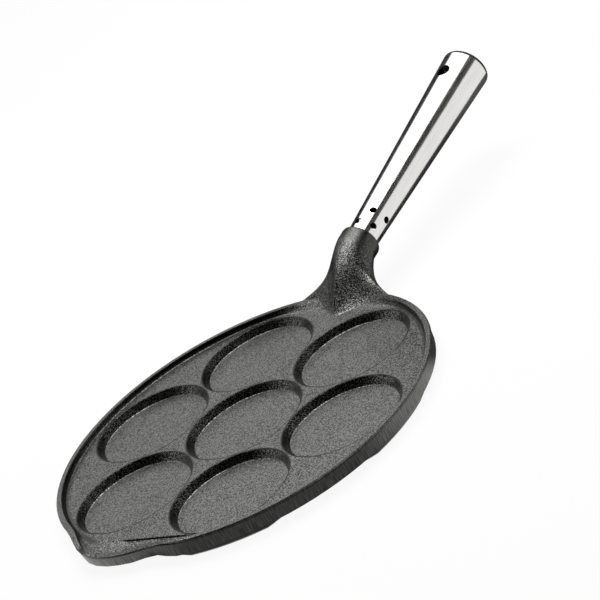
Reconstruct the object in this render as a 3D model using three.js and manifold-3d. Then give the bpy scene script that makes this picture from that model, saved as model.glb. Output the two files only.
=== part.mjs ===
// Plett pan: a cast-iron griddle plate with seven round wells, a pouring spout and a steel tube handle.
// Millimetres, +Z up. The origin is the plate's centre on the plane that the pan stands on.
// The handle runs along +X.

import * as THREE from 'three';
import { mergeVertices } from 'three/addons/utils/BufferGeometryUtils.js';
import Module from 'manifold-3d';

const wasm = await Module();
wasm.setup();

// Wells: one in the middle and a ring around it
const RING_WELL_COUNT = 6;
const WELL_RADIUS = 35.2; // at the plate's surface
const WELL_DEPTH = 4.5;
const WELL_WALL_RUN = 2.6; // how far the sloping wall comes in
const WELL_FILLET = 0.4; // how far the eased corner of wall and floor reaches
const WELL_EDGE_BREAK = 0.3; // the same at the upper edge
const WELL_LAND = 2.0; // iron left between neighbouring wells
const WELL_BORDER = 1.0; // iron left between a well and the foot of the rim

// Plate, rim and side wall
const PLATE_THICKNESS = 6.3;
const RIM_HEIGHT = 3.3; // above the plate's surface
const RIM_WIDTH = 3.4; // flat top
const RIM_FOOT_RUN = 3.0; // slope from rim to plate
const RIM_HOLLOW = 2.4; // how hollow that slope is, 1 is straight
const RIM_EDGE_BREAK = 0.7;
const RIM_OVERHANG = 0.5; // small step under the rim's outer edge
const RIM_BAND = 1.5; // height of the rim's outer edge
const WALL_TAPER = 0.6; // side wall drawn in between rim and underside
const FOOT_BREAK = 1.0; // lower edge of the side wall

// Pads under the wells, which the pan stands on
const PAD_MARGIN = 6.8; // pad radius beyond the well radius
const PAD_DEPTH = 3.2;
const PAD_SLOPE_RUN = 3.6;

// Pouring spout
const SPOUT_ANGLE = 168; // degrees from the handle
const SPOUT_HALF_ANGLE = 18.5;
const SPOUT_REACH = 7.0; // beyond the rim
const LIP_ANGLE = 177; // where the rim has fallen to the lip
const LIP_HALF_ANGLE = 27;
const LIP_HEIGHT = 1.0; // above the plate
const LIP_WIDTH = 1.3;
const WAIST_ANGLE = 190; // where the wall is drawn in beside the spout
const WAIST_HALF_ANGLE = 12;
const WAIST_DEPTH = 2.5;
const WAIST_FOOT_ANGLE = 187; // the same at the wall's foot
const WAIST_FOOT_HALF_ANGLE = 8;
const WAIST_FOOT_DEPTH = 3.6;
const CHANNEL_ANGLE = 186; // middle of the channel that leads to the spout
const CHANNEL_HALF_ANGLE = 30;
const CHANNEL_RUN = 7; // how far it cuts back into the plate
const CHANNEL_DIP = 0.9;
const CHANNEL_STEP = 0.9; // run of the step from its floor up to the plate

// Neck and collar
const COLLAR_REACH = 28.6; // from the rim to the middle of the collar's end
const COLLAR_HEIGHT = 19.8; // of that point above the plate
const COLLAR_LENGTH = 7.8; // straight part
const COLLAR_WALL = 2.3;
const COLLAR_END_ROUND = 1.9;
const NECK_RAMP_RUN = 22; // from the rim inwards to the ramp's foot on the plate
const NECK_RAMP_PITCH = 48; // degrees
const NECK_FOOT_EASE = 3; // how softly ramp and flanks leave the plate
const NECK_RAMP_EASE = 16; // how long the ramp keeps that pitch
const NECK_BACK_EASE = 16; // how long the neck's back stays in line with the collar
const NECK_SPREAD = 23; // degrees on each side, where the wings leave the rim
const NECK_WING_EASE = 26; // how long a wing follows the rim
const NECK_WING_RISE = 9; // its pull upwards meanwhile
const NECK_WAIST_EASE = 14; // how long the sides run parallel before the collar
const NECK_WAIST_DROP = 9; // how far the sides' line comes in below the collar's middle
const NECK_UNDER_RUN = 6; // how long the underside stays low
const NECK_UNDER_EASE = 6; // how long it stays in line with the collar
const NECK_CREST = 3; // how hollow the flanks beside the ramp's crest are, 1 is straight
const NECK_CREST_REACH = 0.95; // share of the neck's length, after which the crest is round
const NECK_WING_ROUND = 2.5; // outer edge of the wings
const NECK_HOLLOW_RUN = 14; // how much wider the rim's slope is at the neck
const NECK_HOLLOW_HALF_ANGLE = 28;
const NECK_SQUARENESS = 4; // of the underside at the root, 2 is round
const SOCKET_DEPTH = 13;

// Handle tube
const HANDLE_RISE = 9.85; // degrees
const TUBE_REACH = 148.2; // from the collar's end to the tube's free end
const TUBE_COLLAR_RADIUS = 9.41; // where it leaves the collar
const TUBE_END_RADIUS = 14.76;
const TUBE_WALL = 1.0;
const TUBE_EDGE_ROUND = 1.2;
const VENT_COUNT = 6; // in each ring
const VENT_DIAMETER = 4.3;
const VENT_FIRST = 6.1; // first ring's distance from the collar
const VENT_RING_SPACING = 9.7;
const VENT_TURN = -3.6; // degrees, first vent from the tube's upper side
const HANG_HOLE_DIAMETER = 9;
const HANG_HOLE_INSET = 17.5; // from the free end

// End cap
const CAP_WALL = 1.0;
const CAP_SKIRT = 6;
const CAP_RISE = 2.2;

// Fixing inside the handle
const BULKHEAD_THICKNESS = 4;
const STUD_DIAMETER = 6;
const STUD_GRIP = 9; // length screwed into the iron
const STUD_PROUD = 2; // beyond the nut
const STUD_CHAMFER = 0.6;
const WASHER_WIDTH = 2.4; // ring, from bore to outside
const WASHER_THICKNESS = 1.6;
const WASHER_SPLIT = 1.2;
const NUT_ACROSS_FLATS = 10;
const NUT_HEIGHT = 5;

const FIT_GAP = 0.3; // between pieces that seat on each other
const MERGE_DISTANCE = 1e-4; // corners closer than this are one

// Facets
const PLATE_SEGMENTS = 96;
const WELL_SEGMENTS = 48;
const PAD_SEGMENTS = 48;
const NECK_SEGMENTS = 44;
const NECK_STATIONS = 16;
const TUBE_SEGMENTS = 40;
const HOLE_SEGMENTS = 20;
const BOLT_SEGMENTS = 24;
const ARC_STEPS = 3;
const CORNER_STEPS = 2;
const HOLLOW_STEPS = 4;
const DOME_STEPS = 4;

// Sizes that follow from those above
const WELL_SPACING = 2 * WELL_RADIUS + WELL_LAND;
const WELL_PITCH = WELL_SPACING / Math.min(1, 2 * Math.sin(Math.PI / RING_WELL_COUNT));
const RIM_FOOT_RADIUS = WELL_PITCH + WELL_RADIUS + WELL_BORDER;
const RIM_INNER_RADIUS = RIM_FOOT_RADIUS + RIM_FOOT_RUN;
const RIM_RADIUS = RIM_INNER_RADIUS + RIM_WIDTH;
const UNDERSIDE_Z = PAD_DEPTH;
const PLATE_Z = UNDERSIDE_Z + PLATE_THICKNESS;
const RIM_Z = PLATE_Z + RIM_HEIGHT;
const WALL_TOP_RADIUS = RIM_RADIUS - RIM_OVERHANG;
const WALL_FOOT_RADIUS = WALL_TOP_RADIUS - WALL_TAPER;
const COLLAR_RADIUS = TUBE_COLLAR_RADIUS + FIT_GAP + COLLAR_WALL;
const TUBE_TAPER = (TUBE_END_RADIUS - TUBE_COLLAR_RADIUS) / TUBE_REACH;
const RISE = THREE.MathUtils.degToRad(HANDLE_RISE);

const AXIS = new THREE.Vector3(Math.cos(RISE), 0, Math.sin(RISE));
const AXIS_UP = new THREE.Vector3(-Math.sin(RISE), 0, Math.cos(RISE));
const COLLAR_END = new THREE.Vector3(RIM_RADIUS + COLLAR_REACH, 0, PLATE_Z + COLLAR_HEIGHT);

// The handle's own frame: X is its upper side, Y runs along it from the collar's end, Z is the pan's +Y.
const HANDLE_FRAME = new THREE.Matrix4()
  .makeBasis(AXIS_UP, AXIS, new THREE.Vector3(0, 1, 0))
  .setPosition(COLLAR_END);

const tubeRadius = (y) => TUBE_COLLAR_RADIUS + TUBE_TAPER * y;
const boreRadius = (y) => tubeRadius(y) - TUBE_WALL;
const point = (x, y) => new THREE.Vector2(x, y);

// Solid and mesh helpers

function toSolid(geometry) {
  const bare = geometry.clone();
  bare.deleteAttribute('normal');
  bare.deleteAttribute('uv');
  const merged = mergeVertices(bare, MERGE_DISTANCE);
  return new wasm.Manifold(new wasm.Mesh({
    numProp: 3,
    vertProperties: new Float32Array(merged.attributes.position.array),
    triVerts: new Uint32Array(merged.index.array),
  }));
}

function toGeometry(solid) {
  const mesh = solid.getMesh();
  const geometry = new THREE.BufferGeometry();
  geometry.setAttribute('position', new THREE.BufferAttribute(mesh.vertProperties, 3));
  geometry.setIndex(new THREE.BufferAttribute(mesh.triVerts, 1));
  geometry.computeVertexNormals();
  return geometry;
}

const joined = (solids) => solids.reduce((a, b) => a.add(b));

// Points of an arc around a centre, from one angle to another, both ends included.
function arc(cx, cy, radius, from, to, steps = ARC_STEPS) {
  const points = [];
  for (let i = 0; i <= steps; i += 1) {
    const angle = THREE.MathUtils.degToRad(THREE.MathUtils.lerp(from, to, i / steps));
    points.push(point(cx + radius * Math.cos(angle), cy + radius * Math.sin(angle)));
  }
  return points;
}

// A corner between two straight lines, eased from a short way before it to as far behind it.
function easedCorner(before, corner, after, reach) {
  const start = before.clone().sub(corner).setLength(reach).add(corner);
  const end = after.clone().sub(corner).setLength(reach).add(corner);
  return new THREE.QuadraticBezierCurve(start, corner, end).getPoints(CORNER_STEPS);
}

// A closed body through loops of equally many points, with a flat fan over each end.
function loft(loops) {
  const count = loops[0].length;
  const positions = loops.flat().flatMap((p) => [p.x, p.y, p.z]);
  const index = [];
  for (let ring = 0; ring + 1 < loops.length; ring += 1) {
    for (let i = 0; i < count; i += 1) {
      const a = ring * count + i;
      const b = ring * count + (i + 1) % count;
      index.push(a, b + count, b, a, a + count, b + count);
    }
  }
  for (const [ring, reverse] of [[0, false], [loops.length - 1, true]]) {
    const middle = loops[ring].reduce((sum, p) => sum.add(p), new THREE.Vector3()).divideScalar(count);
    const hub = positions.length / 3;
    positions.push(middle.x, middle.y, middle.z);
    for (let i = 0; i < count; i += 1) {
      const a = ring * count + i;
      const b = ring * count + (i + 1) % count;
      index.push(...(reverse ? [b, a, hub] : [a, b, hub]));
    }
  }
  const geometry = new THREE.BufferGeometry();
  geometry.setAttribute('position', new THREE.Float32BufferAttribute(positions, 3));
  geometry.setIndex(index);
  return geometry;
}

// A body turned about Z whose section may change with the angle. Sections start and end on the axis.
function turnSections(sectionAt, segments) {
  const positions = [];
  const index = [];
  let count = 0;
  for (let i = 0; i < segments; i += 1) {
    const angle = 2 * Math.PI * i / segments;
    const section = sectionAt(angle);
    count = section.length;
    for (const p of section) positions.push(p.x * Math.cos(angle), p.x * Math.sin(angle), p.y);
  }
  for (let i = 0; i < segments; i += 1) {
    const here = i * count;
    const next = ((i + 1) % segments) * count;
    for (let j = 0; j + 1 < count; j += 1) {
      if (j > 0) index.push(here + j, next + j, here + j + 1);
      if (j + 2 < count) index.push(next + j, next + j + 1, here + j + 1);
    }
  }
  const geometry = new THREE.BufferGeometry();
  geometry.setAttribute('position', new THREE.Float32BufferAttribute(positions, 3));
  geometry.setIndex(index);
  return geometry;
}

// A body turned about Z from a profile of radius and height.
function turnedUpright(profile, segments) {
  return new THREE.LatheGeometry(profile, segments).rotateX(Math.PI / 2);
}

// Plate with rim, side wall and spout

// Rises from nothing to one in the middle of a stretch of the rim.
function swell(angle, middle, halfAngle) {
  const away = angle - THREE.MathUtils.degToRad(middle);
  const offset = Math.abs(Math.atan2(Math.sin(away), Math.cos(away)));
  const half = THREE.MathUtils.degToRad(halfAngle);
  return offset < half ? Math.cos(0.5 * Math.PI * offset / half) ** 2 : 0;
}

function plateSection(angle) {
  const channel = swell(angle, CHANNEL_ANGLE, CHANNEL_HALF_ANGLE);
  const lip = swell(angle, LIP_ANGLE, LIP_HALF_ANGLE);
  const spout = SPOUT_REACH * swell(angle, SPOUT_ANGLE, SPOUT_HALF_ANGLE);
  const out = spout - WAIST_DEPTH * swell(angle, WAIST_ANGLE, WAIST_HALF_ANGLE);
  const footOut = spout - WAIST_FOOT_DEPTH * swell(angle, WAIST_FOOT_ANGLE, WAIST_FOOT_HALF_ANGLE);
  const rimZ = THREE.MathUtils.lerp(RIM_Z, PLATE_Z + LIP_HEIGHT, lip);
  const rimInner = THREE.MathUtils.lerp(RIM_INNER_RADIUS, RIM_RADIUS - LIP_WIDTH, lip) + out;
  const foot = RIM_FOOT_RADIUS - CHANNEL_RUN * channel
    - NECK_HOLLOW_RUN * swell(angle, 0, NECK_HOLLOW_HALF_ANGLE);
  const floorZ = PLATE_Z - CHANNEL_DIP * Math.sqrt(channel);
  const hollow = [];
  for (let i = 1; i <= HOLLOW_STEPS; i += 1) {
    const share = i / HOLLOW_STEPS;
    hollow.push(point(
      THREE.MathUtils.lerp(rimInner, foot + CHANNEL_STEP, share),
      THREE.MathUtils.lerp(floorZ, rimZ, (1 - share) ** RIM_HOLLOW),
    ));
  }
  return [
    point(0, UNDERSIDE_Z),
    point(WALL_FOOT_RADIUS - FOOT_BREAK + footOut, UNDERSIDE_Z),
    point(WALL_FOOT_RADIUS + footOut, UNDERSIDE_Z + FOOT_BREAK),
    point(WALL_TOP_RADIUS + out, rimZ - RIM_BAND),
    point(RIM_RADIUS + out, rimZ - RIM_BAND + RIM_OVERHANG),
    point(RIM_RADIUS + out, rimZ - RIM_EDGE_BREAK),
    point(RIM_RADIUS - RIM_EDGE_BREAK + out, rimZ),
    point(rimInner, rimZ),
    ...hollow,
    point(foot, PLATE_Z),
    point(0, PLATE_Z),
  ];
}

// Wells and pads

function wellCentres() {
  const centres = [new THREE.Vector2(0, 0)];
  for (let i = 0; i < RING_WELL_COUNT; i += 1) {
    const angle = Math.PI * (2 * i + 1) / RING_WELL_COUNT;
    centres.push(point(WELL_PITCH * Math.cos(angle), WELL_PITCH * Math.sin(angle)));
  }
  return centres;
}

function wellCutter() {
  const middle = point(0, PLATE_Z - WELL_DEPTH);
  const foot = point(WELL_RADIUS - WELL_WALL_RUN, middle.y);
  const edge = point(WELL_RADIUS, PLATE_Z);
  const outside = point(WELL_RADIUS + WELL_EDGE_BREAK, PLATE_Z);
  const top = RIM_Z + COLLAR_HEIGHT;
  return turnedUpright([
    middle,
    ...easedCorner(middle, foot, edge, WELL_FILLET),
    ...easedCorner(foot, edge, outside, WELL_EDGE_BREAK),
    point(outside.x, top),
    point(0, top),
  ], WELL_SEGMENTS);
}

function pads() {
  const radius = WELL_RADIUS + PAD_MARGIN;
  const pad = toSolid(turnedUpright([
    point(0, 0),
    point(radius, 0),
    point(radius + PAD_SLOPE_RUN, UNDERSIDE_Z),
    point(radius + PAD_SLOPE_RUN, UNDERSIDE_Z + FOOT_BREAK),
    point(0, UNDERSIDE_Z + FOOT_BREAK),
  ], PAD_SEGMENTS));
  const envelope = toSolid(turnedUpright([
    point(0, 0),
    point(WALL_FOOT_RADIUS - PAD_SLOPE_RUN, 0),
    point(WALL_FOOT_RADIUS, UNDERSIDE_Z + FOOT_BREAK),
    point(0, UNDERSIDE_Z + FOOT_BREAK),
  ], PLATE_SEGMENTS));
  return joined(wellCentres().map((c) => pad.translate(c.x, c.y, 0))).intersect(envelope);
}

// Neck and collar: sections spanned by the neck's back, its two sides and its underside. Above the sides
// a section is a crest with hollow flanks and rounded outer edges that becomes round, and below them a box
// that becomes round.

function sectionLoop({ top, side, bottom, crest = 0, edgeRound = 0, squareness = 2, footEase = 0 }) {
  const middle = new THREE.Vector3(side.x, 0, side.z);
  const lower = new THREE.Vector3(side.x, 0, side.z - edgeRound);
  const up = top.clone().sub(middle);
  const down = bottom.clone().sub(lower);
  const loop = [];
  for (let i = 0; i < NECK_SEGMENTS; i += 1) {
    const angle = 2 * Math.PI * i / NECK_SEGMENTS;
    const sine = Math.abs(Math.sin(angle));
    const cosine = Math.abs(Math.cos(angle));
    const across = Math.sign(Math.sin(angle)) * side.y;
    if (Math.cos(angle) > 0) {
      const height = THREE.MathUtils.lerp(cosine, (1 - sine) ** NECK_CREST, crest);
      const inward = Math.min(edgeRound, side.y * (1 - sine));
      const fall = edgeRound - Math.sqrt(edgeRound ** 2 - (edgeRound - inward) ** 2);
      const p = middle.clone().addScaledVector(up, height);
      const ease = Math.max(footEase * cosine ** 2, MERGE_DISTANCE);
      const sunk = ease * (1 - Math.exp(-Math.max(p.z - PLATE_Z, 0) / ease));
      loop.push(p.setY(across * sine).setZ(p.z - fall - sunk));
    } else {
      const p = lower.clone().addScaledVector(down, cosine ** (2 / squareness));
      loop.push(p.setY(across * sine ** (2 / squareness)));
    }
  }
  return loop;
}

function neck() {
  const collarAt = (y, up, across) => COLLAR_END.clone()
    .addScaledVector(AXIS, y)
    .addScaledVector(AXIS_UP, up)
    .setY(across);
  const start = -COLLAR_LENGTH;
  const spread = THREE.MathUtils.degToRad(NECK_SPREAD);
  const pitch = THREE.MathUtils.degToRad(NECK_RAMP_PITCH);
  const rampFoot = new THREE.Vector3(RIM_RADIUS - NECK_RAMP_RUN, 0, PLATE_Z - FIT_GAP);
  const wingFoot = new THREE.Vector3(Math.cos(spread), Math.sin(spread), 0)
    .multiplyScalar(RIM_RADIUS - RIM_EDGE_BREAK)
    .setZ(PLATE_Z - FIT_GAP);
  const underFoot = new THREE.Vector3(wingFoot.x, 0, UNDERSIDE_Z + FIT_GAP);
  const back = new THREE.CubicBezierCurve3(
    rampFoot,
    new THREE.Vector3(Math.cos(pitch), 0, Math.sin(pitch)).multiplyScalar(NECK_RAMP_EASE).add(rampFoot),
    collarAt(start - NECK_BACK_EASE, COLLAR_RADIUS, 0),
    collarAt(start, COLLAR_RADIUS, 0),
  );
  const side = new THREE.CubicBezierCurve3(
    wingFoot,
    new THREE.Vector3(Math.sin(spread), -Math.cos(spread), 0)
      .multiplyScalar(NECK_WING_EASE)
      .setZ(NECK_WING_RISE)
      .add(wingFoot),
    collarAt(start - NECK_WAIST_EASE, -NECK_WAIST_DROP, COLLAR_RADIUS),
    collarAt(start, 0, COLLAR_RADIUS),
  );
  const under = new THREE.CubicBezierCurve3(
    underFoot,
    underFoot.clone().setX(underFoot.x + NECK_UNDER_RUN),
    collarAt(start - NECK_UNDER_EASE, -COLLAR_RADIUS, 0),
    collarAt(start, -COLLAR_RADIUS, 0),
  );
  const loops = [];
  for (let i = 0; i <= NECK_STATIONS; i += 1) {
    const t = i / NECK_STATIONS;
    const crest = 1 - THREE.MathUtils.smoothstep(t, 0, NECK_CREST_REACH);
    const squareness = THREE.MathUtils.lerp(NECK_SQUARENESS, 2, Math.sqrt(t));
    loops.push(sectionLoop({
      top: back.getPoint(t),
      side: side.getPoint(t),
      bottom: under.getPoint(t),
      crest,
      edgeRound: NECK_WING_ROUND * crest,
      squareness,
      footEase: NECK_FOOT_EASE * (1 - t),
    }));
  }
  const end = arc(-COLLAR_END_ROUND, COLLAR_RADIUS - COLLAR_END_ROUND, COLLAR_END_ROUND, 90, 0);
  for (const { x, y } of end) {
    loops.push(sectionLoop({
      top: collarAt(x, y, 0),
      side: collarAt(x, 0, y),
      bottom: collarAt(x, -y, 0),
    }));
  }
  return loft(loops);
}

// Socket for the tube and blind hole for the stud, in the handle's frame
function socketCutter() {
  const floor = -SOCKET_DEPTH;
  const past = COLLAR_END_ROUND;
  const studRadius = STUD_DIAMETER / 2 + FIT_GAP;
  return new THREE.LatheGeometry([
    point(0, floor - STUD_GRIP - FIT_GAP),
    point(studRadius, floor - STUD_GRIP - FIT_GAP),
    point(studRadius, floor),
    point(tubeRadius(floor) + FIT_GAP, floor),
    point(tubeRadius(past) + FIT_GAP, past),
    point(0, past),
  ], TUBE_SEGMENTS);
}

function panCasting() {
  const plate = toSolid(turnSections(plateSection, PLATE_SEGMENTS));
  const well = toSolid(wellCutter());
  const wells = joined(wellCentres().map((c) => well.translate(c.x, c.y, 0)));
  const socket = toSolid(socketCutter().applyMatrix4(HANDLE_FRAME));
  return toGeometry(plate.add(pads()).add(toSolid(neck())).subtract(wells).subtract(socket));
}

// Handle pieces, in the handle's frame

function crossHole(diameter, length, y, angle) {
  return new THREE.CylinderGeometry(diameter / 2, diameter / 2, length, HOLE_SEGMENTS)
    .rotateZ(Math.PI / 2)
    .rotateY(-angle)
    .translate(0, y, 0);
}

function handleTube() {
  const start = -SOCKET_DEPTH + FIT_GAP;
  const round = TUBE_EDGE_ROUND;
  const shoulder = TUBE_REACH - round;
  const edge = arc(tubeRadius(shoulder) - round, shoulder, round, 0, 90);
  const tube = toSolid(new THREE.LatheGeometry([
    point(boreRadius(start), start),
    point(tubeRadius(start), start),
    point(tubeRadius(0), 0),
    ...edge.filter((p) => p.x > boreRadius(TUBE_REACH)),
    point(boreRadius(TUBE_REACH), TUBE_REACH),
    point(boreRadius(start), start),
  ], TUBE_SEGMENTS));
  const across = 4 * TUBE_END_RADIUS; // right through both walls
  const cutters = [crossHole(HANG_HOLE_DIAMETER, across, TUBE_REACH - HANG_HOLE_INSET, 0)];
  for (const ring of [0, 1]) {
    for (let i = 0; i < VENT_COUNT / 2; i += 1) {
      const angle = THREE.MathUtils.degToRad(VENT_TURN) + 2 * Math.PI * (i + 0.5 * ring) / VENT_COUNT;
      cutters.push(crossHole(VENT_DIAMETER, across, VENT_FIRST + ring * VENT_RING_SPACING, angle));
    }
  }
  return toGeometry(tube.subtract(joined(cutters.map(toSolid))));
}

// Half the section of a shallow dome, from its middle to its edge.
function domeSection(radius, edgeY) {
  const points = [];
  for (let i = 0; i <= DOME_STEPS; i += 1) {
    const share = i / DOME_STEPS;
    points.push(point(radius * share, edgeY + CAP_RISE * (1 - share ** 2)));
  }
  return points;
}

function handleEndCap() {
  const radius = (y) => boreRadius(y) - FIT_GAP;
  const skirtEnd = TUBE_REACH - CAP_SKIRT;
  return new THREE.LatheGeometry([
    ...domeSection(radius(TUBE_REACH) - CAP_WALL, TUBE_REACH - CAP_WALL),
    point(radius(skirtEnd) - CAP_WALL, skirtEnd),
    point(radius(skirtEnd), skirtEnd),
    ...domeSection(radius(TUBE_REACH), TUBE_REACH).reverse(),
  ], TUBE_SEGMENTS);
}

// The stack on the stud, from the socket's floor outwards
const BULKHEAD_START = -SOCKET_DEPTH + FIT_GAP;
const WASHER_START = BULKHEAD_START + BULKHEAD_THICKNESS + FIT_GAP;
const NUT_START = WASHER_START + WASHER_THICKNESS + FIT_GAP;
const STUD_END = NUT_START + NUT_HEIGHT + STUD_PROUD;
const STUD_BORE = STUD_DIAMETER / 2 + FIT_GAP;

function ring(inner, outer, start, height) {
  return new THREE.LatheGeometry([
    point(inner, start),
    point(outer, start),
    point(outer, start + height),
    point(inner, start + height),
    point(inner, start),
  ], BOLT_SEGMENTS);
}

function tubeBulkhead() {
  return ring(STUD_BORE, boreRadius(BULKHEAD_START) - FIT_GAP, BULKHEAD_START, BULKHEAD_THICKNESS);
}

function tieStud() {
  const start = -SOCKET_DEPTH - STUD_GRIP;
  const radius = STUD_DIAMETER / 2;
  return new THREE.LatheGeometry([
    point(0, start),
    point(radius - STUD_CHAMFER, start),
    point(radius, start + STUD_CHAMFER),
    point(radius, STUD_END - STUD_CHAMFER),
    point(radius - STUD_CHAMFER, STUD_END),
    point(0, STUD_END),
  ], BOLT_SEGMENTS);
}

function lockWasher() {
  const outer = STUD_BORE + WASHER_WIDTH;
  const split = new THREE.BoxGeometry(2 * WASHER_WIDTH, 3 * WASHER_THICKNESS, WASHER_SPLIT)
    .translate(outer, WASHER_START + WASHER_THICKNESS / 2, 0);
  const whole = ring(STUD_BORE, outer, WASHER_START, WASHER_THICKNESS);
  return toGeometry(toSolid(whole).subtract(toSolid(split)));
}

function tieNut() {
  const cornerRadius = NUT_ACROSS_FLATS / Math.sqrt(3);
  const middle = NUT_START + NUT_HEIGHT / 2;
  const hexagon = new THREE.CylinderGeometry(cornerRadius, cornerRadius, NUT_HEIGHT, 6)
    .translate(0, middle, 0);
  const bore = new THREE.CylinderGeometry(STUD_BORE, STUD_BORE, 2 * NUT_HEIGHT, BOLT_SEGMENTS)
    .translate(0, middle, 0);
  return toGeometry(toSolid(hexagon).subtract(toSolid(bore)));
}

// Assembly

const castIron = { color: 0x3a3a3a, roughness: 0.75, metalness: 0.3 };
const brushedSteel = { color: 0xc9c9c7, roughness: 0.28, metalness: 1 };
const zincSteel = { color: 0x9a9c9e, roughness: 0.45, metalness: 1 };

function named(name, geometry, finish) {
  const mesh = new THREE.Mesh(geometry, new THREE.MeshStandardMaterial(finish));
  mesh.name = name;
  return mesh;
}

const handle = new THREE.Group();
HANDLE_FRAME.decompose(handle.position, handle.quaternion, handle.scale);
handle.add(
  named('handle_tube', handleTube(), brushedSteel),
  named('handle_end_cap', handleEndCap(), brushedSteel),
  named('tube_bulkhead', tubeBulkhead(), brushedSteel),
  named('tie_stud', tieStud(), zincSteel),
  named('lock_washer', lockWasher(), zincSteel),
  named('tie_nut', tieNut(), zincSteel),
);

const plettPan = new THREE.Group();
plettPan.add(named('pan_casting', panCasting(), castIron), handle);

export default plettPan;
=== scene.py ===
import math

import bmesh
import bpy
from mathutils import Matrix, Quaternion, Vector


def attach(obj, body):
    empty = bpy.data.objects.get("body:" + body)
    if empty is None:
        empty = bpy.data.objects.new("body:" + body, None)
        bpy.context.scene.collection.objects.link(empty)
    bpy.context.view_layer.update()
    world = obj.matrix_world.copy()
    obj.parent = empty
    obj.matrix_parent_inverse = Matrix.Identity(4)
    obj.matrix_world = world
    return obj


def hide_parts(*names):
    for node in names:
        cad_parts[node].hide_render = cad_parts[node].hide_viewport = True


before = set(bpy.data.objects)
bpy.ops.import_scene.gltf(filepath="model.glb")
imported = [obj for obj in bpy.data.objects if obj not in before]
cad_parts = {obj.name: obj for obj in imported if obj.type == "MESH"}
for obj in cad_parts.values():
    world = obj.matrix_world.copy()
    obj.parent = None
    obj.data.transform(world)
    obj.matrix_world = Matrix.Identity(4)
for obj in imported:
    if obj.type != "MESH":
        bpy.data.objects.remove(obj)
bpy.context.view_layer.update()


# Pan casting
# One pour of grey iron: plate, wells, rim, spout, pads, neck and collar. The sand leaves a fine grain,
# which stands deeper where nothing was dressed, on the neck and in the spout's channel. The side wall is
# ground afterwards.

MM = 0.001
MERGE_DISTANCE = 0.001 * MM    # corners closer than this are one


def placed(shape, name):
    """An object at the origin that holds a finished shape."""
    mesh = bpy.data.meshes.new(name)
    shape.to_mesh(mesh)
    shape.free()
    piece = bpy.data.objects.new(name, mesh)
    bpy.context.scene.collection.objects.link(piece)
    return piece


def merged_copy(node, name, sharp_degrees):
    """A new piece in the shape of a CAD node, with shared corners and edges that are sharp past an angle."""
    shape = bmesh.new()
    shape.from_mesh(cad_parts[node].data)
    bmesh.ops.remove_doubles(shape, verts=shape.verts, dist=MERGE_DISTANCE)
    for face in shape.faces:
        face.smooth = True
        face.material_index = 0
    for edge in shape.edges:
        edge.smooth = edge.calc_face_angle(0) < math.radians(sharp_degrees)
    return placed(shape, name)


def linear(hex_colour):
    """An sRGB hex colour as the linear colour that a shader takes."""
    parts = [int(hex_colour[i:i + 2], 16) / 255 for i in (1, 3, 5)]
    return [p / 12.92 if p <= 0.04045 else ((p + 0.055) / 1.055) ** 2.4 for p in parts] + [1]


def add_node(tree, kind, inputs=None, **settings):
    """Adds a shader node with its settings, and sets its inputs or links them to a socket or a node."""
    made = tree.nodes.new("ShaderNode" + kind)
    for name, value in settings.items():
        setattr(made, name, value)
    for name, value in (inputs or {}).items():
        if isinstance(value, bpy.types.Node):
            value = [socket for socket in value.outputs if socket.enabled][0]
        if isinstance(value, bpy.types.NodeSocket):
            tree.links.new(value, made.inputs[name])
        else:
            made.inputs[name].default_value = value
    return made


def new_material(name):
    """An empty material and its node tree."""
    material = bpy.data.materials.new(name)
    material.use_nodes = True
    material.node_tree.nodes.clear()
    return material, material.node_tree


WELL_RADIUS = 35.2 * MM
WELL_WALL = 2.6 * MM          # run of a well's sloping wall
WELL_LAND = 2 * MM            # iron between two wells
WELL_BORDER = 1 * MM          # iron between a well and the rim's slope
WELL_TURN = math.radians(30)  # the first outer well's angle, and half the angle between two
RIM_SLOPE = 3 * MM            # run of the slope from the plate up to the rim
RIM_WIDTH = 3.4 * MM
RIM_HEIGHT = 3.3 * MM         # above the plate
PLATE_TOP = 9.5 * MM
NECK_FOOT = 98 * MM           # along X
COLLAR_FOOT = 130 * MM        # along X, where the rough neck turns into the smooth collar
COLLAR_REACH = 28.6 * MM      # from the rim to the middle of the collar's end
COLLAR_HEIGHT = 19.8 * MM     # of that point above the plate
CHANNEL_MIDDLE = Vector((-111, -7, 9)) * MM
HANDLE_RISE = math.radians(9.85)

WELL_FLOOR = WELL_RADIUS - WELL_WALL
WELL_RING = 2 * WELL_RADIUS + WELL_LAND    # from the pan's middle to the middles of the six outer wells
RIM_FOOT = WELL_RING + WELL_RADIUS + WELL_BORDER    # radius where the rim's slope leaves the plate
RIM_INNER = RIM_FOOT + RIM_SLOPE                    # radius where it reaches the rim's top
RIM_RADIUS = RIM_INNER + RIM_WIDTH
RIM_TOP = PLATE_TOP + RIM_HEIGHT
HANDLE_START = Vector((RIM_RADIUS + COLLAR_REACH, 0, PLATE_TOP + COLLAR_HEIGHT))    # at the collar's end

GRAIN = 0.75 * MM             # the sand's grain, coarser than the real 0.3 mm so that it shows
GRAIN_RELIEF = 0.14 * MM      # on the dressed faces
COLLAR_RELIEF = 0.1 * MM      # the same grain, rubbed down on the collar
AS_CAST_RELIEF = 0.36 * MM    # the same grain, left as cast
BLOTCH = 14 * MM              # patches of thicker and thinner seasoning
GRIND_LINE = 0.6 * MM         # spacing of the wheel's upright lines, coarser than the real 0.2 mm
GRIND_RUN = 9 * MM            # their length
GRIND_RELIEF = 0.015 * MM

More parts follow.
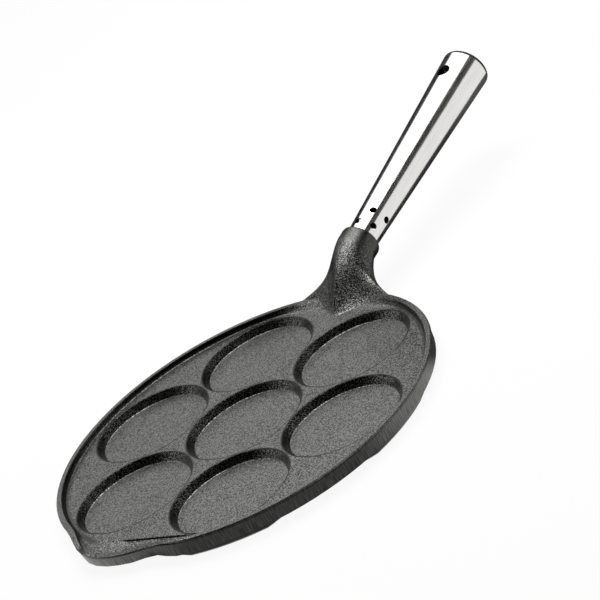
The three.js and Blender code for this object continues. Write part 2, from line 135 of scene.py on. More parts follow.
# Baked oil makes iron a dark mirror at a low angle: little colour, a soft gloss and light specks on the
# grains. Each finish below has a mask, which is 1 where the finish lies and fades to 0 at its edges. A pair
# of values gives first where a mask is 0 and then where it is 1.
cast_iron, tree = new_material("seasoned_cast_iron")
coordinates = add_node(tree, "TexCoord").outputs
place = coordinates["Object"]
axes = add_node(tree, "SeparateXYZ", {"Vector": place}).outputs
flat_place = add_node(tree, "CombineXYZ", {"X": axes["X"], "Y": axes["Y"]})
radius = add_node(tree, "VectorMath", {0: flat_place}, operation="LENGTH").outputs["Value"]
turn = add_node(tree, "Math", {0: axes["Y"], 1: axes["X"]}, operation="ARCTAN2")
facing_up = add_node(tree, "SeparateXYZ", {"Vector": coordinates["Normal"]}).outputs["Z"]
outwards = add_node(tree, "VectorMath", {0: flat_place}, operation="NORMALIZE")
facing_out = add_node(tree, "VectorMath", {
    0: outwards, 1: coordinates["Normal"],
}, operation="DOT_PRODUCT").outputs["Value"]

# Underside, plain all over
DOWN_COSINE = (-0.05, -0.35)    # of a face to straight up
underside = add_node(tree, "MapRange", {
    "Value": facing_up, "From Min": DOWN_COSINE[0], "From Max": DOWN_COSINE[1],
})

# Neck, smooth at the collar and as cast below it
NECK_FADE = 3 * MM                  # on each side of the neck's foot
NECK_LIFT = (0.1 * MM, 1.4 * MM)    # above the plate
COLLAR_FADE = 10 * MM               # on each side of the collar's foot
RIM_END = 10 * MM                   # past the neck's foot, where the rim's finishes have faded out
past_neck_foot = add_node(tree, "MapRange", {
    "Value": axes["X"], "From Min": NECK_FOOT - NECK_FADE, "From Max": NECK_FOOT + NECK_FADE,
}, interpolation_type="SMOOTHSTEP")
above_plate = add_node(tree, "MapRange", {
    "Value": axes["Z"], "From Min": PLATE_TOP + NECK_LIFT[0], "From Max": PLATE_TOP + NECK_LIFT[1],
}, interpolation_type="SMOOTHSTEP")
below_collar = add_node(tree, "MapRange", {
    "Value": axes["X"], "From Min": COLLAR_FOOT + COLLAR_FADE, "From Max": COLLAR_FOOT - COLLAR_FADE,
}, interpolation_type="SMOOTHSTEP")
off_neck = add_node(tree, "MapRange", {
    "Value": axes["X"], "From Min": NECK_FOOT + RIM_END, "From Max": NECK_FOOT,
})
on_neck = add_node(tree, "Math", {0: past_neck_foot, 1: above_plate}, operation="MULTIPLY")
rough_neck = add_node(tree, "Math", {0: on_neck, 1: below_collar}, operation="MULTIPLY")

# Walls of the wells and the rim's slope, darkened with painted shade, and a near-black line along each
# well's upper edge
WELL_FLOOR_FADE = (-0.5 * MM, 0.4 * MM)    # from the foot of a well's wall
WELL_EDGE_FADE = (1.2 * MM, 0.5 * MM)      # outside a well's edge
EDGE_LINE_FADE = (-0.2 * MM, 0.1 * MM)     # from a well's edge
PLATE_FADE = 3 * MM                        # from a well's edge to where the plate's own finish is full
SLOPE_FOOT_FADE = (-0.8 * MM, 0.6 * MM)    # from the foot of the rim's slope
RIM_INNER_FADE = 0.4 * MM                  # on each side of the rim's inner edge
from_well = add_node(tree, "Math", {
    0: add_node(tree, "Math", {0: turn, 1: WELL_TURN}, operation="SUBTRACT"), 1: WELL_TURN, 2: -WELL_TURN,
}, operation="WRAP")
well_place = add_node(tree, "CombineXYZ", {
    "X": add_node(tree, "Math", {
        0: radius, 1: add_node(tree, "Math", {0: from_well}, operation="COSINE"), 2: -WELL_RING,
    }, operation="MULTIPLY_ADD"),
    "Y": add_node(tree, "Math", {
        0: radius, 1: add_node(tree, "Math", {0: from_well}, operation="SINE"),
    }, operation="MULTIPLY"),
})
outer_well = add_node(tree, "VectorMath", {0: well_place}, operation="LENGTH").outputs["Value"]
well_radius = add_node(tree, "Math", {0: outer_well, 1: radius}, operation="MINIMUM")
past_well_floor = add_node(tree, "MapRange", {
    "Value": well_radius,
    "From Min": WELL_FLOOR + WELL_FLOOR_FADE[0], "From Max": WELL_FLOOR + WELL_FLOOR_FADE[1],
})
inside_well_edge = add_node(tree, "MapRange", {
    "Value": well_radius,
    "From Min": WELL_RADIUS + WELL_EDGE_FADE[0], "From Max": WELL_RADIUS + WELL_EDGE_FADE[1],
})
past_edge_line = add_node(tree, "MapRange", {
    "Value": well_radius,
    "From Min": WELL_RADIUS + EDGE_LINE_FADE[0], "From Max": WELL_RADIUS + EDGE_LINE_FADE[1],
})
off_wells = add_node(tree, "MapRange", {
    "Value": well_radius, "From Min": WELL_RADIUS, "From Max": WELL_RADIUS + PLATE_FADE,
})
past_slope_foot = add_node(tree, "MapRange", {
    "Value": radius, "From Min": RIM_FOOT + SLOPE_FOOT_FADE[0], "From Max": RIM_FOOT + SLOPE_FOOT_FADE[1],
})
inside_rim = add_node(tree, "MapRange", {
    "Value": radius, "From Min": RIM_INNER + RIM_INNER_FADE, "From Max": RIM_INNER - RIM_INNER_FADE,
})
well_wall = add_node(tree, "Math", {0: past_well_floor, 1: inside_well_edge}, operation="MULTIPLY")
well_edge = add_node(tree, "Math", {0: past_edge_line, 1: inside_well_edge}, operation="MULTIPLY")
rim_slope = past_slope_foot
for limit in (inside_rim, off_neck):
    rim_slope = add_node(tree, "Math", {0: rim_slope, 1: limit}, operation="MULTIPLY")

# Channel and lip of the spout, left as cast too, and painted shade on the step from channel to plate
SPOUT_REACH = (42 * MM, 28 * MM)        # from the channel's middle
CHANNEL_FADE = (0.05 * MM, 0.3 * MM)    # below the plate
RIM_FOOT_FADE = 1 * MM                  # inside the foot of the rim's slope
STEP_FADE = 0.5 * MM                    # on each side of that foot
LEVEL_COSINE = (0.8, 0.93)              # of a face to straight up, from steep to level
from_channel = add_node(tree, "VectorMath", {
    0: place, 1: CHANNEL_MIDDLE,
}, operation="DISTANCE").outputs["Value"]
near_spout = add_node(tree, "MapRange", {
    "Value": from_channel, "From Min": SPOUT_REACH[0], "From Max": SPOUT_REACH[1],
}, interpolation_type="SMOOTHSTEP")
below_plate = add_node(tree, "MapRange", {
    "Value": axes["Z"], "From Min": PLATE_TOP - CHANNEL_FADE[0], "From Max": PLATE_TOP - CHANNEL_FADE[1],
}, interpolation_type="SMOOTHSTEP")
past_rim_foot = add_node(tree, "MapRange", {
    "Value": radius, "From Min": RIM_FOOT - RIM_FOOT_FADE, "From Max": RIM_FOOT,
})
inside_slope = add_node(tree, "MapRange", {
    "Value": radius, "From Min": RIM_FOOT + STEP_FADE, "From Max": RIM_FOOT - STEP_FADE,
})
level_face = add_node(tree, "MapRange", {
    "Value": facing_up, "From Min": LEVEL_COSINE[0], "From Max": LEVEL_COSINE[1],
})
steep_face = add_node(tree, "MapRange", {
    "Value": facing_up, "From Min": LEVEL_COSINE[1], "From Max": LEVEL_COSINE[0],
})
spout_floor = add_node(tree, "Math", {0: below_plate, 1: past_rim_foot}, operation="MAXIMUM")
for limit in (near_spout, level_face, off_wells):
    spout_floor = add_node(tree, "Math", {0: spout_floor, 1: limit}, operation="MULTIPLY")
spout_step = below_plate
for limit in (steep_face, near_spout, inside_slope, off_wells):
    spout_step = add_node(tree, "Math", {0: spout_step, 1: limit}, operation="MULTIPLY")
as_cast = add_node(tree, "Math", {0: rough_neck, 1: spout_floor}, operation="MAXIMUM")

# Side wall, ground by a wheel that leaves upright lines, with a painted shadow line under the rim's edge
UPRIGHT_COSINE = (0.45, 0.65)         # of a face to straight outwards
RIM_SHADOW_TOP = (0.9 * MM, 1.1 * MM)     # below the rim's top
RIM_SHADOW_FOOT = (1.7 * MM, 1.5 * MM)    # below the rim's top too
upright_face = add_node(tree, "MapRange", {
    "Value": facing_out, "From Min": UPRIGHT_COSINE[0], "From Max": UPRIGHT_COSINE[1],
})
outer_wall = add_node(tree, "Math", {0: past_rim_foot, 1: off_neck}, operation="MULTIPLY")
ground = add_node(tree, "Math", {0: outer_wall, 1: upright_face}, operation="MULTIPLY")
under_rim = add_node(tree, "MapRange", {
    "Value": axes["Z"], "From Min": RIM_TOP - RIM_SHADOW_TOP[0], "From Max": RIM_TOP - RIM_SHADOW_TOP[1],
})
over_wall = add_node(tree, "MapRange", {
    "Value": axes["Z"], "From Min": RIM_TOP - RIM_SHADOW_FOOT[0], "From Max": RIM_TOP - RIM_SHADOW_FOOT[1],
})
rim_painted_shadow = under_rim
for limit in (over_wall, outer_wall):
    rim_painted_shadow = add_node(tree, "Math", {0: rim_painted_shadow, 1: limit}, operation="MULTIPLY")
on_wall = add_node(tree, "CombineXYZ", {
    "X": add_node(tree, "Math", {0: turn, 1: RIM_RADIUS / GRIND_LINE}, operation="MULTIPLY"),
    "Y": add_node(tree, "Math", {0: axes["Z"], 1: 1 / GRIND_RUN}, operation="MULTIPLY"),
})

# Colour, gloss and relief: each finish lies over the ones before it
NOISE_SPAN = (0.3, 0.7)            # where most of a noise's values lie
SPECK_SPAN = (0.42, 0.58)          # of the grain, from dark to light
SPARSE_SPECK_SPAN = (0.48, 0.6)    # of the grain, where fewer specks are light
LINE_SPAN = (0.35, 0.65)           # of the wheel's lines, from dark to light
IRON_ROUGHNESS = (0.28, 0.36)
NECK_ROUGHNESS_SHARE = 0.85        # of the roughness elsewhere
grain = add_node(tree, "TexNoise", {"Vector": place, "Scale": 1 / GRAIN, "Detail": 2, "Roughness": 0.6})
blotch = add_node(tree, "TexNoise", {"Vector": place, "Scale": 1 / BLOTCH, "Detail": 3})
lines = add_node(tree, "TexNoise", {"Vector": on_wall, "Scale": 1.0, "Detail": 2})
speck = add_node(tree, "MapRange", {
    "Value": grain, "From Min": SPECK_SPAN[0], "From Max": SPECK_SPAN[1],
})
sparse_speck = add_node(tree, "MapRange", {
    "Value": grain, "From Min": SPARSE_SPECK_SPAN[0], "From Max": SPARSE_SPECK_SPAN[1],
})
line_speck = add_node(tree, "MapRange", {
    "Value": lines, "From Min": LINE_SPAN[0], "From Max": LINE_SPAN[1],
})
tone = add_node(tree, "Mix", {
    "Factor": speck, "A": linear("#2c2c2b"), "B": linear("#7a7a78"),
}, data_type="RGBA")
for mask, specks, dark, light in [
    (off_wells, speck, "#181817", "#7a7a78"),
    (on_neck, speck, "#3a3a39", "#4e4e4c"),
    (rough_neck, sparse_speck, "#262625", "#70706e"),
    # painted shade darkens the rim's slope
    (rim_slope, speck, "#121211", "#4c4c4a"),
    # painted shade darkens the wells' walls
    (well_wall, sparse_speck, "#161615", "#767674"),
    # a near-black line drawn along each well's upper edge
    (well_edge, speck, "#040404", "#181817"),
    (underside, speck, "#181817", "#5c5c5a"),
    (ground, line_speck, "#4a4a49", "#727270"),
    # painted shadow under the rim's edge
    (rim_painted_shadow, speck, "#121211", "#181817"),
    (spout_floor, sparse_speck, "#1e1e1d", "#a2a29f"),
    # painted shade on the step's steep face
    (spout_step, speck, "#121211", "#1c1c1b"),
]:
    finish = add_node(tree, "Mix", {
        "Factor": specks, "A": linear(dark), "B": linear(light),
    }, data_type="RGBA")
    tone = add_node(tree, "Mix", {"Factor": mask, "A": tone, "B": finish}, data_type="RGBA")
sheen = add_node(tree, "MapRange", {
    "Value": blotch, "From Min": NOISE_SPAN[0], "From Max": NOISE_SPAN[1],
    "To Min": IRON_ROUGHNESS[0], "To Max": IRON_ROUGHNESS[1],
})
neck_sheen = add_node(tree, "Math", {0: sheen, 1: NECK_ROUGHNESS_SHARE}, operation="MULTIPLY")
sheen = add_node(tree, "Mix", {"Factor": on_neck, "A": sheen, "B": neck_sheen})
height = add_node(tree, "Math", {0: grain, 1: GRAIN_RELIEF}, operation="MULTIPLY")
for mask, pattern, relief in [
    (ground, lines, GRIND_RELIEF),
    (on_neck, grain, COLLAR_RELIEF),
    (as_cast, grain, AS_CAST_RELIEF),
]:
    own_height = add_node(tree, "Math", {0: pattern, 1: relief}, operation="MULTIPLY")
    height = add_node(tree, "Mix", {"Factor": mask, "A": height, "B": own_height})
shade = add_node(tree, "BsdfPrincipled", {
    "Base Color": tone, "Roughness": sheen, "Metallic": 1.0,
    "Normal": add_node(tree, "Bump", {"Height": height, "Strength": 1.0, "Distance": 1.0}),
})
add_node(tree, "OutputMaterial", {"Surface": shade})

CREST_START = 90 * MM    # along X
ON_CREST = 0.01 * MM     # how far off the pan's middle line an edge of the crest may lie
pan = merged_copy("pan_casting", "iron_pan", sharp_degrees=35)
pan.data.materials.append(cast_iron)
for edge in pan.data.edges:
    ends = [pan.data.vertices[i].co for i in edge.vertices]
    if all(abs(end.y) < ON_CREST and end.x > CREST_START for end in ends):
        edge.use_edge_sharp = False    # the neck's crest is round

# The collar is as round as a tube, so its shading leans towards a tube's, and the neck below takes that up.
HANDLE_AXIS = Vector((math.cos(HANDLE_RISE), 0, math.sin(HANDLE_RISE)))
ROUND_FROM, ROUND_FULL = 108 * MM, 126 * MM    # along X
ROUND_SHARE = 0.5
ALIKE_FROM, ALIKE_FULL = 0.35, 0.8             # cosine between the face and the round collar
even_shading = pan.modifiers.new("even_shading", "WEIGHTED_NORMAL")
even_shading.keep_sharp = True
shaded = pan.evaluated_get(bpy.context.evaluated_depsgraph_get()).data
normals = [Vector(corner.vector) for corner in shaded.corner_normals]
pan.modifiers.remove(even_shading)
for corner in pan.data.loops:
    spot = pan.data.vertices[corner.vertex_index].co
    reach = spot - HANDLE_START
    out = (reach - HANDLE_AXIS * reach.dot(HANDLE_AXIS)).normalized()
    alike = normals[corner.index].dot(out)
    share = ROUND_SHARE
    for value, low, high in [(spot.x, ROUND_FROM, ROUND_FULL), (alike, ALIKE_FROM, ALIKE_FULL)]:
        step = min(max((value - low) / (high - low), 0), 1)
        share *= step * step * (3 - 2 * step)
    normals[corner.index] = normals[corner.index].lerp(out, share).normalized()
pan.data.normals_split_custom_set(normals)
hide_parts("pan_casting")
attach(pan, "root")


# Handle tube
# Stainless steel tube drawn to a taper, with punched vents and a hang hole, brushed along its length and
# then polished. Its narrow end sits in the iron collar. The bore keeps the dull skin of the drawing, painted
# dark as shade.

TUBE_LENGTH = 148.2 * MM          # from the collar's end
TUBE_COLLAR_RADIUS = 9.41 * MM    # where it leaves the collar
TUBE_END_RADIUS = 14.76 * MM
TUBE_TAPER = math.atan((TUBE_END_RADIUS - TUBE_COLLAR_RADIUS) / TUBE_LENGTH)
SHADED_END = 2.3 * MM               # at the wide end, painted dark as shade along the edge
WALL_COSINE = 0.97                # a face this much in line with the taper is part of the tube's wall
OUTSIDE_COSINE = 0.9              # a face that looks outwards this much is polished
BRUSH_LINE = 0.7 * MM             # width of a brush mark, coarser than the real 0.1 mm
BRUSH_RUN = 60 * MM               # its length
BRUSH_RELIEF = 0.004 * MM
STEEL_ROUGHNESS = (0.1, 0.2)
SCALE_SPOT = 2 * MM               # spots of the drawn skin

# Brushing leaves fine lighter and darker lines along the tube, and the polish keeps its reflections clear.
steel, tree = new_material("brushed_stainless_steel")
place = add_node(tree, "TexCoord").outputs["Object"]
along = add_node(tree, "Mapping", {"Vector": place, "Rotation": (0, HANDLE_RISE, 0)})
stretched = add_node(tree, "VectorMath", {
    0: along, 1: (1 / BRUSH_RUN, 1 / BRUSH_LINE, 1 / BRUSH_LINE),
}, operation="MULTIPLY")
marks = add_node(tree, "TexNoise", {"Vector": stretched, "Scale": 1.0, "Detail": 3})
tone = add_node(tree, "Mix", {
    "Factor": marks, "A": linear("#d2d1cf"), "B": linear("#eeedeb"),
}, data_type="RGBA")
sheen = add_node(tree, "MapRange", {
    "Value": marks, "From Min": NOISE_SPAN[0], "From Max": NOISE_SPAN[1],
    "To Min": STEEL_ROUGHNESS[0], "To Max": STEEL_ROUGHNESS[1],
})
shade = add_node(tree, "BsdfPrincipled", {
    "Base Color": tone, "Roughness": sheen, "Metallic": 1.0,
    "Normal": add_node(tree, "Bump", {"Height": marks, "Strength": 1.0, "Distance": BRUSH_RELIEF}),
})
add_node(tree, "OutputMaterial", {"Surface": shade})

# The drawn skin is matt and painted dark as shade: the vents look black and the tube's end has a dark edge.
dull_skin_and_shade, tree = new_material("dull_steel_and_painted_shade")
place = add_node(tree, "TexCoord").outputs["Object"]
spots = add_node(tree, "TexNoise", {"Vector": place, "Scale": 1 / SCALE_SPOT, "Detail": 3})
tone = add_node(tree, "Mix", {
    "Factor": spots, "A": linear("#2c2c2b"), "B": linear("#444443"),
}, data_type="RGBA")
shade = add_node(tree, "BsdfPrincipled", {"Base Color": tone, "Roughness": 0.6, "Specular IOR Level": 0.05})
add_node(tree, "OutputMaterial", {"Surface": shade})

tube = merged_copy("handle_tube", "steel_handle", sharp_degrees=30)
shape = bmesh.new()
shape.from_mesh(tube.data)
bmesh.ops.bisect_plane(
    shape, geom=shape.verts[:] + shape.edges[:] + shape.faces[:], dist=MERGE_DISTANCE,
    plane_co=HANDLE_START + HANDLE_AXIS * (TUBE_LENGTH - SHADED_END), plane_no=HANDLE_AXIS,
)
shape.to_mesh(tube.data)
shape.free()
tube.data.materials.append(steel)
tube.data.materials.append(dull_skin_and_shade)
normals = [Vector(corner.vector) for corner in tube.data.corner_normals]
for face in tube.data.polygons:
    for loop in face.loop_indices:
        reach = tube.data.vertices[tube.data.loops[loop].vertex_index].co - HANDLE_START
        out = (reach - HANDLE_AXIS * reach.dot(HANDLE_AXIS)).normalized()
        drawn = out * math.cos(TUBE_TAPER) - HANDLE_AXIS * math.sin(TUBE_TAPER)
        if abs(face.normal.dot(drawn)) > WALL_COSINE:
            normals[loop] = drawn if face.normal.dot(drawn) > 0 else -drawn
    reach = face.center - HANDLE_START
    out = (reach - HANDLE_AXIS * reach.dot(HANDLE_AXIS)).normalized()
    at_end = reach.dot(HANDLE_AXIS) > TUBE_LENGTH - SHADED_END
    if at_end or face.normal.dot(out) < OUTSIDE_COSINE:
        face.material_index = 1    # bore, the punched holes' walls and the tube's ends, painted dark as shade
tube.data.normals_split_custom_set(normals)
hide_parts("handle_tube")
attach(tube, "root")


# End cap
# Shallow domed cup of stainless steel, spun on a lathe. Its skirt is pressed into the tube's wide end,
# which the dome closes.

SPIN_LINE = 0.5 * MM    # spacing of the lathe's rings, coarser than the real 0.1 mm
SPIN_RELIEF = 0.02 * MM
SPUN_ROUGHNESS = (0.16, 0.3)

# The lathe leaves fine rings round the handle's line, which soften the reflections.
spun_steel, tree = new_material("spun_stainless_steel")
place = add_node(tree, "TexCoord").outputs["Object"]
from_start = add_node(tree, "VectorMath", {0: place, 1: HANDLE_START}, operation="SUBTRACT")
along = add_node(tree, "Mapping", {"Vector": from_start, "Rotation": (0, HANDLE_RISE, 0)})
axes = add_node(tree, "SeparateXYZ", {"Vector": along}).outputs
face_place = add_node(tree, "CombineXYZ", {"Y": axes["Y"], "Z": axes["Z"]})
radius = add_node(tree, "VectorMath", {0: face_place}, operation="LENGTH").outputs["Value"]
rings = add_node(tree, "Math", {0: radius, 1: 1 / SPIN_LINE}, operation="MULTIPLY")
marks = add_node(tree, "TexNoise", {"W": rings, "Scale": 1.0, "Detail": 3}, noise_dimensions="1D")
tone = add_node(tree, "Mix", {
    "Factor": marks, "A": linear("#cfcecc"), "B": linear("#e6e5e3"),
}, data_type="RGBA")
sheen = add_node(tree, "MapRange", {
    "Value": marks, "From Min": NOISE_SPAN[0], "From Max": NOISE_SPAN[1],
    "To Min": SPUN_ROUGHNESS[0], "To Max": SPUN_ROUGHNESS[1],
})
shade = add_node(tree, "BsdfPrincipled", {
    "Base Color": tone, "Roughness": sheen, "Metallic": 1.0,
    "Normal": add_node(tree, "Bump", {"Height": marks, "Strength": 1.0, "Distance": SPIN_RELIEF}),
})
add_node(tree, "OutputMaterial", {"Surface": shade})

cap = merged_copy("handle_end_cap", "steel_end_cap", sharp_degrees=30)
cap.data.materials.append(spun_steel)
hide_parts("handle_end_cap")
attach(cap, "root")


# Tube bulkhead
# Thick stainless disc, turned on a lathe and welded into the tube's narrow end, where it takes the
# stud's pull.

bulkhead = merged_copy("tube_bulkhead", "steel_bulkhead", sharp_degrees=30)
bulkhead.data.materials.append(spun_steel)
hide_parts("tube_bulkhead")
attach(bulkhead, "root")


# Tie stud
# Zinc-plated steel stud with a rolled thread. It is screwed into the iron at the bottom of the collar's
# socket and goes through the bulkhead.

STUD_SPAN = (-22 * MM, 0.5 * MM)    # along the handle, from the collar's end
STUD_RADIUS = 3 * MM
STUD_CHAMFER = 0.6 * MM
THREAD_PITCH = 1 * MM
THREAD_DEPTH = 0.54 * MM
THREAD_STEPS = 24                   # in one turn
THREAD_MERGE = 0.01 * MM            # corners of neighbouring turns that are closer than this are one
SPARE_TURNS = 3                     # beyond the stud's ends, cut off afterwards
START_TURNS = 2                     # how many of them come before its start
ZINC_CLOUD = 1.5 * MM               # patches of the passivated plating
ZINC_ROUGHNESS = (0.22, 0.4)

# Passivated zinc is a pale grey with bluish and yellowish clouds and a soft gloss.
zinc, tree = new_material("zinc_plated_steel")
place = add_node(tree, "TexCoord").outputs["Object"]
cloud = add_node(tree, "TexNoise", {"Vector": place, "Scale": 1 / ZINC_CLOUD, "Detail": 4})
tone = add_node(tree, "Mix", {
    "Factor": cloud, "A": linear("#a9b0b8"), "B": linear("#d6d4c8"),
}, data_type="RGBA")
sheen = add_node(tree, "MapRange", {
    "Value": cloud, "From Min": NOISE_SPAN[0], "From Max": NOISE_SPAN[1],
    "To Min": ZINC_ROUGHNESS[0], "To Max": ZINC_ROUGHNESS[1],
})
shade = add_node(tree, "BsdfPrincipled", {"Base Color": tone, "Roughness": sheen, "Metallic": 1.0})
add_node(tree, "OutputMaterial", {"Surface": shade})

# One pitch of the thread's outline, as shares of its pitch and depth, is swept round the handle's line
# while it moves along it.
HANDLE_UP = Vector((-math.sin(HANDLE_RISE), 0, math.cos(HANDLE_RISE)))
shape = bmesh.new()
outline = []
for along_pitch, depth in [(0, 1), (0.125, 1), (0.4375, 0), (0.5625, 0), (0.875, 1), (1, 1)]:
    spot = HANDLE_START + HANDLE_AXIS * (STUD_SPAN[0] + (along_pitch - START_TURNS) * THREAD_PITCH)
    outline.append(shape.verts.new(spot + HANDLE_UP * (STUD_RADIUS - depth * THREAD_DEPTH)))
edges = [shape.edges.new(pair) for pair in zip(outline, outline[1:])]
turns = math.ceil((STUD_SPAN[1] - STUD_SPAN[0]) / THREAD_PITCH) + SPARE_TURNS
bmesh.ops.spin(
    shape, geom=outline + edges, cent=HANDLE_START, axis=HANDLE_AXIS, angle=2 * math.pi * turns,
    dvec=HANDLE_AXIS * THREAD_PITCH / THREAD_STEPS, steps=turns * THREAD_STEPS,
)
bmesh.ops.remove_doubles(shape, verts=shape.verts, dist=THREAD_MERGE)
for end, side in zip(STUD_SPAN, (-1, 1)):
    bmesh.ops.bisect_plane(
        shape, geom=shape.verts[:] + shape.edges[:] + shape.faces[:], dist=MERGE_DISTANCE,
        plane_co=HANDLE_START + HANDLE_AXIS * end, plane_no=HANDLE_AXIS * side, clear_outer=True,
    )
bmesh.ops.holes_fill(shape, edges=[edge for edge in shape.edges if edge.is_boundary], sides=0)
for vert in shape.verts:
    station = (vert.co - HANDLE_START).dot(HANDLE_AXIS)
    middle = HANDLE_START + HANDLE_AXIS * station
    limit = STUD_RADIUS - STUD_CHAMFER + min(station - STUD_SPAN[0], STUD_SPAN[1] - station)
    if (vert.co - middle).length > limit:
        vert.co = middle + (vert.co - middle).normalized() * limit
bmesh.ops.recalc_face_normals(shape, faces=shape.faces)
stud = placed(shape, "threaded_stud")
stud.data.materials.append(zinc)
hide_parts("tie_stud")
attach(stud, "root")


# Lock washer
# Split spring washer of zinc-plated steel. It sits on the stud between the bulkhead and the nut, and its
# spring keeps the nut from working loose.

washer = merged_copy("lock_washer", "spring_washer", sharp_degrees=30)
washer.data.materials.append(zinc)
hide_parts("lock_washer")
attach(washer, "root")


# Tie nut
# Hexagon nut of zinc-plated steel on the stud, tightened from the tube's wide end before the cap is
# pressed in.

nut = merged_copy("tie_nut", "hexagon_nut", sharp_degrees=30)
nut.data.materials.append(zinc)
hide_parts("tie_nut")
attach(nut, "root")


# Floor and white surround
# A wide white sweep. The eye and every reflection see it as plain white, and it keeps a little of the
# shadow.

def stage_sheet(name, corners, material):
    """A flat sheet of the studio, which isn't part of the object."""
    shape = bmesh.new()
    shape.faces.new([shape.verts.new(corner) for corner in corners])
    sheet = placed(shape, name)
    sheet.data.materials.append(material)
    return sheet


def level(x_span, y_span, height):
    """Corners of a level sheet."""
    return [(x_span[0], y_span[0], height), (x_span[1], y_span[0], height),
            (x_span[1], y_span[1], height), (x_span[0], y_span[1], height)]


FLOOR_SPAN = (-4.0, 4.0)
FLOOR_WHITE = 0.92    # share of plain white, the rest takes the shadow
SURROUND_LIGHT = 0.06

paper, paper_tree = new_material("white_paper_sweep")
world = bpy.data.worlds.new("white_surround")
world.use_nodes = True
world.node_tree.nodes.clear()
bpy.context.scene.world = world
seen = []    # 1 for what the eye and reflections see, 0 for the light that falls on the pan
for tree in (paper_tree, world.node_tree):
    rays = add_node(tree, "LightPath").outputs
    eye = add_node(tree, "Math", {0: rays["Is Camera Ray"], 1: rays["Is Glossy Ray"]}, operation="ADD")
    seen.append(add_node(tree, "Math", {
        0: eye, 1: rays["Is Transmission Ray"],
    }, operation="ADD", use_clamp=True))

tree = paper_tree
matt = add_node(tree, "BsdfDiffuse", {"Color": linear("#f4f4f4")})
white = add_node(tree, "Emission", {"Color": linear("#ffffff"), "Strength": 1.0})
share = add_node(tree, "Math", {0: seen[0], 1: FLOOR_WHITE}, operation="MULTIPLY")
add_node(tree, "OutputMaterial", {"Surface": add_node(tree, "MixShader", {0: share, 1: matt, 2: white})})
stage_sheet("floor", level(FLOOR_SPAN, FLOOR_SPAN, 0), paper)

tree = world.node_tree
soft = add_node(tree, "Background", {"Color": linear("#ffffff"), "Strength": SURROUND_LIGHT})
white = add_node(tree, "Background", {"Color": linear("#ffffff"), "Strength": 1.0})
add_node(tree, "OutputWorld", {"Surface": add_node(tree, "MixShader", {0: seen[1], 1: soft, 2: white})})


# Light
# A wide softbox overhead with a brighter middle, black cloth round the pan and a card under it with a
# painted shadow, as for polished metal. Only reflections see the cloth and the card.

LAMP_HEIGHT = 1.05
SOFTBOX_X = (-0.1, 1.7)
SOFTBOX_Y = (-0.62, 0.97)
SOFTBOX_WATTS = 11.5
MIDDLE_X = (0.0, 0.65)
MIDDLE_Y = (-0.35, 0.5)
MIDDLE_WATTS = 9.0
MIDDLE_DROP = 0.01    # how far it hangs below the wide softbox
for name, x_span, y_span, height, watts in [
    ("softbox", SOFTBOX_X, SOFTBOX_Y, LAMP_HEIGHT, SOFTBOX_WATTS),
    ("softbox_middle", MIDDLE_X, MIDDLE_Y, LAMP_HEIGHT - MIDDLE_DROP, MIDDLE_WATTS),
]:
    lamp = bpy.data.lights.new(name, "AREA")
    lamp.shape = "RECTANGLE"
    lamp.size = x_span[1] - x_span[0]
    lamp.size_y = y_span[1] - y_span[0]
    lamp.energy = watts
    hung = bpy.data.objects.new(name, lamp)
    hung.location = (sum(x_span) / 2, sum(y_span) / 2, height)
    hung.visible_camera = False
    bpy.context.scene.collection.objects.link(hung)

# Black cloth draws the dark stripes in the metal.
cloth, tree = new_material("black_cloth")
add_node(tree, "OutputMaterial", {"Surface": add_node(tree, "BsdfDiffuse", {"Color": linear("#4a4a4a")})})

# The card round the pan's foot carries a painted shadow under the pan, is dark at the camera's side and
# behind, and white at the right and left.
PAINTED_SHADOW_UNDER = 0.05    # brightness of the painted shadow under the pan, where white is 1
UNDER_EDGE = (RIM_RADIUS - 6 * MM, RIM_RADIUS + 2 * MM)    # radius, from the painted shadow to white
DARK_FRONT = math.radians(-137)
DARK_BACK = math.radians(20)
shaded_card, tree = new_material("shaded_card")
place = add_node(tree, "TexCoord").outputs["Object"]
outwards = add_node(tree, "VectorMath", {0: place}, operation="NORMALIZE")
from_middle = add_node(tree, "VectorMath", {0: place}, operation="LENGTH").outputs["Value"]
strength = add_node(tree, "MapRange", {
    "Value": from_middle, "From Min": UNDER_EDGE[0], "From Max": UNDER_EDGE[1], "To Min": PAINTED_SHADOW_UNDER,
})
for middle, white_degrees, dark_degrees, dark in [    # degrees to each side of the dark part's middle
    (DARK_FRONT, 52, 27, 0.3),
    (DARK_BACK, 88, 75, 0.1),
]:
    towards = add_node(tree, "VectorMath", {
        0: outwards, 1: (math.cos(middle), math.sin(middle), 0),
    }, operation="DOT_PRODUCT").outputs["Value"]
    fade = add_node(tree, "MapRange", {
        "Value": towards, "To Min": 1.0, "To Max": dark,
        "From Min": math.cos(math.radians(white_degrees)),
        "From Max": math.cos(math.radians(dark_degrees)),
    }, interpolation_type="SMOOTHSTEP")
    strength = add_node(tree, "Math", {0: strength, 1: fade}, operation="MULTIPLY")
glow = add_node(tree, "Emission", {"Color": linear("#ffffff"), "Strength": strength})
add_node(tree, "OutputMaterial", {"Surface": glow})


def upright(start, end, low, high):
    """Corners of an upright sheet over a line on the floor."""
    return [(*start, low), (*end, low), (*end, high), (*start, high)]


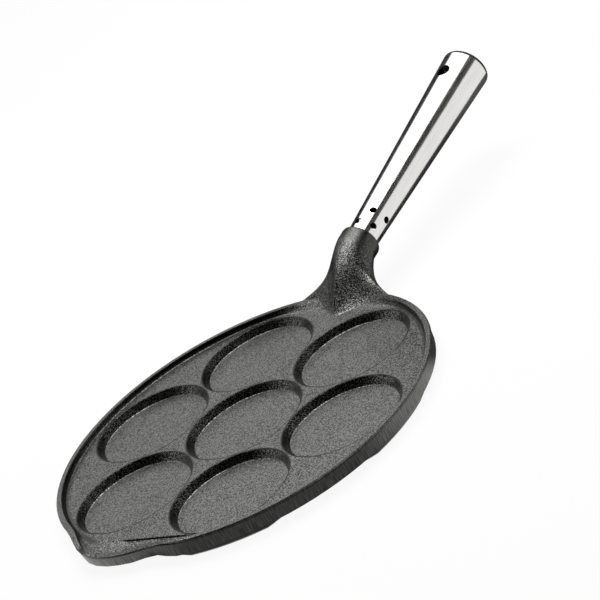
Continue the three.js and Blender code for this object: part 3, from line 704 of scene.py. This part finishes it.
FRONT, BACK = -1.1, 2.2
RIGHT, LEFT = -0.8, 0.98
OPENING_X = 0.42                 # from here to the back, the right side is open and white
OPENING_TOP = 0.46
LEFT_START = -0.05               # where the dark strip on the left begins
WHITE_LEFT_X = 1.15              # up to here, the left side is open and white over that strip
DARK_LEFT = 0.26                 # the strip's height
CARD_SPAN = (-0.5, 0.13)
ABOVE_FLOOR = 0.002
BY_HANDLE_X = (0.17, 0.42)       # upright cloth on the handle's left side
BY_HANDLE_Y = 0.06
BY_HANDLE_TOP = (0.083, 0.136)   # its height at each end
UNDER_HANDLE_X = (0.14, 0.45)    # cloth on the floor under the handle, a painted shadow of it
UNDER_HANDLE_RIGHT = (-0.018, -0.047)
UNDER_HANDLE_LEFT = 0.9
for name, corners, material in [
    ("card_floor", level(CARD_SPAN, CARD_SPAN, ABOVE_FLOOR / 2), shaded_card),
    ("cloth_left_low", upright((LEFT_START, LEFT), (WHITE_LEFT_X, LEFT), 0, DARK_LEFT), cloth),
    ("cloth_left_back", upright((WHITE_LEFT_X, LEFT), (BACK, LEFT), 0, LAMP_HEIGHT), cloth),
    ("cloth_back", upright((BACK, RIGHT), (BACK, LEFT), 0, LAMP_HEIGHT), cloth),
    ("cloth_front", upright((FRONT, RIGHT), (FRONT, LEFT), 0, LAMP_HEIGHT), cloth),
    ("cloth_right", upright((FRONT, RIGHT), (BACK, RIGHT), OPENING_TOP, LAMP_HEIGHT), cloth),
    ("cloth_front_right", upright((FRONT, RIGHT), (OPENING_X, RIGHT), 0, OPENING_TOP), cloth),
    ("cloth_top_front", level((FRONT, SOFTBOX_X[0]), (RIGHT, LEFT), LAMP_HEIGHT), cloth),
    ("cloth_top_right", level((SOFTBOX_X[0], BACK), (RIGHT, SOFTBOX_Y[0]), LAMP_HEIGHT), cloth),
    ("cloth_by_handle", [
        (BY_HANDLE_X[0], BY_HANDLE_Y, ABOVE_FLOOR), (BY_HANDLE_X[1], BY_HANDLE_Y, ABOVE_FLOOR),
        (BY_HANDLE_X[1], BY_HANDLE_Y, BY_HANDLE_TOP[1]), (BY_HANDLE_X[0], BY_HANDLE_Y, BY_HANDLE_TOP[0]),
    ], cloth),
    # painted shadow: black cloth under the handle stands for the handle's shadow on the floor in reflections
    ("shadow_cloth_under_handle", [
        (UNDER_HANDLE_X[0], UNDER_HANDLE_RIGHT[0], ABOVE_FLOOR),
        (UNDER_HANDLE_X[1], UNDER_HANDLE_RIGHT[1], ABOVE_FLOOR),
        (UNDER_HANDLE_X[1], UNDER_HANDLE_LEFT, ABOVE_FLOOR),
        (UNDER_HANDLE_X[0], UNDER_HANDLE_LEFT, ABOVE_FLOOR),
    ], cloth),
]:
    sheet = stage_sheet(name, corners, material)
    sheet.visible_camera = False
    sheet.visible_diffuse = False
    sheet.visible_shadow = False


# Camera
# Seen from the spout's side, from above, with the picture turned as the pan is shown.

CAMERA_AIM = Vector((99.35, 22.6, 20)) * MM
CAMERA_DISTANCE = 1583.9 * MM
CAMERA_AZIMUTH = math.radians(-132.2)
CAMERA_ELEVATION = math.radians(23.5)
CAMERA_ROLL = math.radians(-28.43)
CAMERA_LENS = 164.85

back = Vector((
    math.cos(CAMERA_AZIMUTH) * math.cos(CAMERA_ELEVATION),
    math.sin(CAMERA_AZIMUTH) * math.cos(CAMERA_ELEVATION),
    math.sin(CAMERA_ELEVATION),
))
lens = bpy.data.cameras.new("camera")
lens.lens = CAMERA_LENS
camera = bpy.data.objects.new("camera", lens)
camera.location = CAMERA_AIM + CAMERA_DISTANCE * back
camera.rotation_mode = "QUATERNION"
camera.rotation_quaternion = (-back).to_track_quat("-Z", "Y") @ Quaternion((0, 0, 1), CAMERA_ROLL)
bpy.context.scene.collection.objects.link(camera)
bpy.context.scene.camera = camera
bpy.context.scene.view_settings.view_transform = "Standard"
